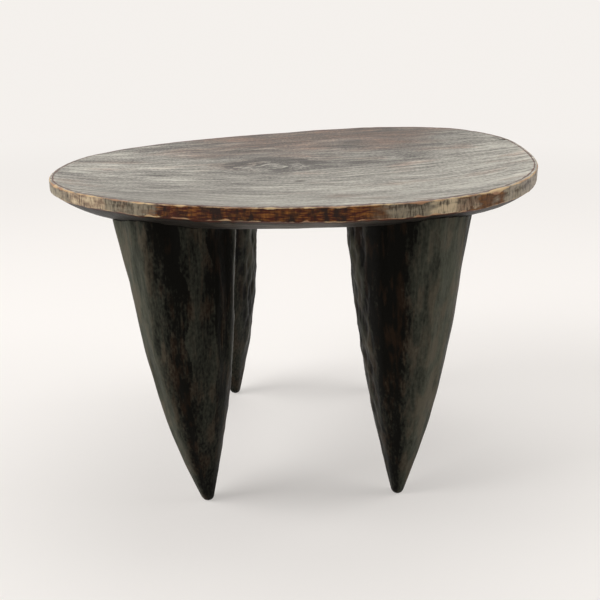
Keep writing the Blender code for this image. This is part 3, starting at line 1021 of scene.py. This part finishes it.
def weathered_hardwood(finish):
    """Dense hardwood, adzed by hand, worn and weathered. That gives a grey satin top streaked along its
    grain, with wide growth rings that close round a knot, a rim that is oiled dark in some places and bare
    and mottled in others, and pale golden wood where the edges are rubbed or chipped."""
    material, add = new_material("weathered_hardwood")
    at = seat_values(add)
    colour, gloss, top_relief = top_wood(add, finish, at)
    side, side_relief = rim_wood(add, finish, at)
    below = under_wood(add, finish, at)
    on_rim = add(RANGE, [at["upper_edge"], -0.8, 0.2, 0, 1])
    on_bevel = add(RANGE, [at["lower_edge"], -0.2, 0.6, 0, 1])
    for share, over in ((on_rim, side), (on_bevel, below), *worn_edges(add, finish, at)):
        colour = add(MIX, [share, colour, over], data_type="RGBA")
    relief = add(MIX, [on_rim, top_relief, side_relief], data_type="FLOAT")
    bump = add("ShaderNodeBump", {"Strength": 0.6, "Distance": 0.0008, "Height": relief})
    set_shader(material, {
        "Base Color": colour, "Roughness": gloss, "Normal": bump, "IOR": 1.5, "Specular IOR Level": 0.2,
    })
    return material


def blackened_hardwood(finish):
    """The same hardwood, blackened with oil and soot. That gives near-black satin legs, finely speckled,
    with brown showing through along the grain. Each flat has a tone of its own, painted light that stands in
    for the light it catches. The rubbed side is grey, partly rubbed wood and partly a painted highlight,
    with painted shade beside it, and the crests of the rough side take painted glints."""
    material, add = new_material("blackened_hardwood")
    spot = add("ShaderNodeTexCoord").outputs["Object"]
    height = add(SPLIT, [spot]).outputs["Z"]
    marks, facing, rubbed, flat_light_tone = [
        add("ShaderNodeAttribute", attribute_name=mark).outputs["Fac"] for mark in LEG_MARKS
    ]

    # Each pattern's sizes in millimetres, and its detail, the fibres again coarser than real ones
    patterns = {
        "streak": ((5, 5, 40), 4),
        "fibre": ((1.4, 1.4, 24), 3),
        "patch": ((14, 14, 32), 5),
        "cloud": ((34, 34, 80), 3),
        "speck": ((2.2, 2.2, 4), 3),
    }
    made = {}
    for name, (sizes, detail) in patterns.items():
        scaled = add(VECTOR, [spot, per_mm(*sizes)], "MULTIPLY")
        made[name] = add(NOISE, {"Vector": scaled, "Scale": 1, "Detail": detail})

    # What each effect is told by, the two ends of its range, and its strength at each end
    figure = add(MATH, [made["streak"], 0.9, made["patch"]], "MULTIPLY_ADD")
    beside = add(MATH, [rubbed, 0.55], "SUBTRACT")
    beside = add(MATH, [beside], "ABSOLUTE")
    effects = {
        "clear": (height, 0.03, 0.18, 0.25, 1),
        "low": (height, 0.05, 0.2, 0.06, 0),
        # Paler on the rubbed side: partly rubbed wood, partly a painted highlight
        "outer": (rubbed, 0.62, 0.96, 0, 0.45),
        # A band of painted shade beside the rubbed side
        "oil": (beside, 0.4, 0.05, 0, 0.17),
        # Paler crests on the rough side: partly rubbed, partly painted glints
        "inner": (facing, 0.6, 0.85, 0.12, 0.3),
        "sheen": (facing, 0.6, 0.85, 0.035, 0.14),
        "mottle": (figure, 0.75, 1.15, 0.7, 1.25),
        "warm": (figure, 0.87, 1.07, 0, 0.65),
        "brown": (figure, 0.97, 1.14, 0, 0.5),
        "gloss": (made["speck"], 0.4, 0.6, 0.38, 0.56),
    }
    for name, ends in effects.items():
        effects[name] = add(RANGE, ends)
    flat_light_tone = add(MATH, [flat_light_tone, effects["clear"]], "MULTIPLY")
    # The painted shade beside the rubbed side, with less of it near the foot
    oil = add(MATH, [effects["oil"], effects["clear"]], "MULTIPLY")

    # How far the black is worn through, with painted light and shade mixed in: a painted highlight on the
    # rubbed side, painted shade beside it, each flat's painted tone, painted glints on the rough side's
    # crests, and paler towards the foot. Then the colours of what is left and of what shows
    worn = 0
    for value, weight in (
        (flat_light_tone, 0.34), (made["cloud"], 0.42), (made["patch"], 0.25), (made["streak"], 0.35),
        (made["speck"], 0.6), (made["fibre"], 0.4), (effects["outer"], effects["mottle"]), (oil, -1),
        (effects["low"], 1), (marks, effects["inner"]),
    ):
        worn = add(MATH, [value, weight, worn], "MULTIPLY_ADD")
    worn = add(RANGE, [worn, 1.02, 1.86, 0, 0.85])
    bare = add(MIX, [effects["warm"], finish.leg_grey, finish.leg_warm], data_type="RGBA")
    black = add(MIX, [effects["brown"], finish.leg_black, finish.leg_brown], data_type="RGBA")
    colour = add(MIX, [worn, black, bare], data_type="RGBA")
    relief = add(MATH, [made["fibre"], 0.4, made["streak"]], "MULTIPLY_ADD")
    relief = add(MATH, [made["speck"], 0.6, relief], "MULTIPLY_ADD")
    bump = add("ShaderNodeBump", {"Strength": 0.5, "Distance": 0.0008, "Height": relief})
    set_shader(material, {
        "Base Color": colour, "Roughness": effects["gloss"], "Normal": bump, "IOR": 1.5,
        "Specular IOR Level": effects["sheen"],
    })
    return material


class STOOL_OT_seat(bpy.types.Operator):
    """Builds the seat's slab and cuts its mortises"""

    bl_idname = "stool.seat"
    bl_label = "Seat"

    def execute(self, context):
        scene = context.scene
        size, legs = scene.stool_seat, scene.stool_legs
        piece = seat_blank("carved_seat", size)
        piece.data.materials.append(weathered_hardwood(scene.stool_finish))
        underside = size.rim_height - size.thickness
        reach, wide = legs.tenon_length + legs.fit_gap, legs.tenon_radius + legs.fit_gap
        cutters = []
        for name, leg in LEGS.items():
            cutter = peg(f"{name}_mortise", leg["head"], wide, underside - reach, underside + reach)
            cut = piece.modifiers.new(cutter.name, "BOOLEAN")
            cut.operation = "DIFFERENCE"
            cut.solver = "MANIFOLD"
            cut.object = cutter
            cutters.append(cutter)
        settle(piece)
        for cutter in cutters:
            bpy.data.objects.remove(cutter)
        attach(piece, "root")
        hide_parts("seat")
        return {"FINISHED"}


class STOOL_OT_legs(bpy.types.Operator):
    """Carves the four legs and fits them to the seat"""

    bl_idname = "stool.legs"
    bl_label = "Legs"

    def execute(self, context):
        scene = context.scene
        size, legs = scene.stool_seat, scene.stool_legs
        blank = seat_blank("seat_scribe", size)
        for mark in SEAT_MARKS:
            blank.data.attributes.remove(blank.data.attributes[mark])
        tree = carved_leg_tree()
        feet = {mount["name"]: Vector(mount["pos_m"]) for mount in frame["record"]["mounts"]}
        keys = {item.name: item.identifier for item in tree.interface.items_tree if item.in_out == "INPUT"}
        shared = {
            "Overrun": size.thickness / 2, "Sides": LEG_SIDES, "Rings": LEG_RINGS, "Seat": blank,
            "Wood": blackened_hardwood(scene.stool_finish),
        }
        for key in StoolLegs.__annotations__:
            shared[legs.bl_rna.properties[key].name] = getattr(legs, key)
        for seed, (name, leg) in enumerate(LEGS.items(), 1):
            own = {
                "Foot": feet[name.replace("leg", "foot")], "Bow": Vector((leg["bow"], 0, 0)),
                "Head": Vector((*leg["head"], size.rim_height - size.thickness)),
                "Head radius": leg["radius"], "Head slope": leg["head_slope"], "Turn": leg["turn"],
                "Rough side": self.way(leg["rough_side"]), "Rubbed side": self.way(leg["rubbed_side"]),
                "Seed": seed,
            }
            piece = place(f"carved_{name}", bpy.data.meshes.new(name))
            carving = piece.modifiers.new("carving", "NODES")
            carving.node_group = tree
            for key, value in (shared | own).items():
                carving[keys[key]] = value
            settle(piece)
            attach(piece, "root")
            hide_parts(name)
        bpy.data.objects.remove(blank)
        return {"FINISHED"}

    def way(self, degrees):
        """A level direction, by its angle from X."""
        return Matrix.Rotation(math.radians(degrees), 3, "Z") @ Vector((1, 0, 0))


class STOOL_OT_stage(bpy.types.Operator):
    """Sets the floor, the lights and the camera"""

    bl_idname = "stool.stage"
    bl_label = "Stage"

    def execute(self, context):
        scene = context.scene
        stage = scene.stool_stage
        scene.view_settings.view_transform = "Standard"
        self.floor(stage)
        for name, (power, wide, spot) in LIGHTS.items():
            self.light(name, getattr(stage, power), wide, spot)
        world = bpy.data.worlds.new("studio")
        world.use_nodes = True
        add = partial(add_node, world.node_tree)
        level = add(RANGE, [self.seen(add), 0, 1, stage.world_strength, stage.backdrop])
        sky = world.node_tree.nodes["Background"]
        connect(stage.floor_colour, sky.inputs["Color"])
        connect(level, sky.inputs["Strength"])
        scene.world = world
        eye = bpy.data.cameras.new("camera")
        eye.sensor_fit = "HORIZONTAL"
        eye.lens = stage.focal_share * eye.sensor_width
        camera = place("camera", eye)
        camera.location = stage.camera_place
        camera.rotation_euler = (math.pi / 2 - stage.camera_pitch, 0, -stage.camera_yaw)
        scene.camera = camera
        return {"FINISHED"}

    def seen(self, add):
        """Is 1 for rays that show a surface itself, in the picture or in a gloss, and 0 for its light."""
        rays = add("ShaderNodeLightPath").outputs
        seen = rays["Is Camera Ray"]
        for name in ("Is Glossy Ray", "Is Transmission Ray"):
            seen = add(MATH, [seen, rays[name]], "MAXIMUM")
        return seen

    def floor(self, stage):
        """A round floor of paper, which gives a matt surface without a gleam. It fades into the background
        away from the stool, and is clear from below."""
        turns = np.linspace(0, 2 * math.pi, FLOOR_POINTS, endpoint=False)
        ring = stage.floor_reach * np.column_stack([np.cos(turns), np.sin(turns)])
        mesh = bpy.data.meshes.new("studio_floor")
        mesh.from_pydata(flat(ring).tolist(), [], [range(FLOOR_POINTS)])
        paper, add = new_material("matt_paper")
        shader = set_shader(paper, {
            "Base Color": stage.floor_colour, "Roughness": 0.9, "Specular IOR Level": 0.2,
        })
        glow = add("ShaderNodeEmission", [stage.floor_colour, stage.backdrop])
        spot = add("ShaderNodeTexCoord").outputs["Object"]
        away = add(VECTOR, [spot], "LENGTH").outputs["Value"]
        share = add(RANGE, [away, *FLOOR_FADE, FLOOR_GLOW, 1], interpolation_type="SMOOTHSTEP")
        share = add(MATH, [share, self.seen(add)], "MULTIPLY")
        face = add("ShaderNodeMixShader", [share, shader, glow])
        beneath = add("ShaderNodeNewGeometry").outputs["Backfacing"]
        clear = add("ShaderNodeBsdfTransparent")
        face = add("ShaderNodeMixShader", [beneath, face, clear])
        connect(face, paper.node_tree.nodes["Material Output"].inputs["Surface"])
        mesh.materials.append(paper)
        return place("studio_floor", mesh)

    def light(self, name, power, wide, spot):
        """A large soft light that faces the stool."""
        lamp = bpy.data.lights.new(name, "AREA")
        lamp.energy = power
        lamp.size = wide
        made = place(name, lamp)
        made.location = spot
        made.rotation_euler = (LIGHT_AIM - made.location).to_track_quat("-Z", "Y").to_euler()


class STOOL_PT_panel(bpy.types.Panel):
    """Lists the stool's pieces"""

    bl_idname = "STOOL_PT_panel"
    bl_label = "Carved Stool"
    bl_space_type = "VIEW_3D"
    bl_region_type = "UI"
    bl_category = "Stool"

    def draw(self, context):
        for operator in OPERATORS:
            self.layout.operator(operator.bl_idname)


GROUPS = {
    "stool_seat": StoolSeat,
    "stool_legs": StoolLegs,
    "stool_finish": StoolFinish,
    "stool_stage": StoolStage,
}
OPERATORS = (STOOL_OT_seat, STOOL_OT_legs, STOOL_OT_stage)
CLASSES = (*GROUPS.values(), *OPERATORS, STOOL_PT_panel)


def register():
    for made in CLASSES:
        bpy.utils.register_class(made)
    for name, group in GROUPS.items():
        setattr(bpy.types.Scene, name, bpy.props.PointerProperty(type=group))


def unregister():
    for name in GROUPS:
        delattr(bpy.types.Scene, name)
    for made in reversed(CLASSES):
        bpy.utils.unregister_class(made)


def main():
    register()
    bpy.ops.stool.seat()
    bpy.ops.stool.legs()
    bpy.ops.stool.stage()


if __name__ == "__main__":
    main()
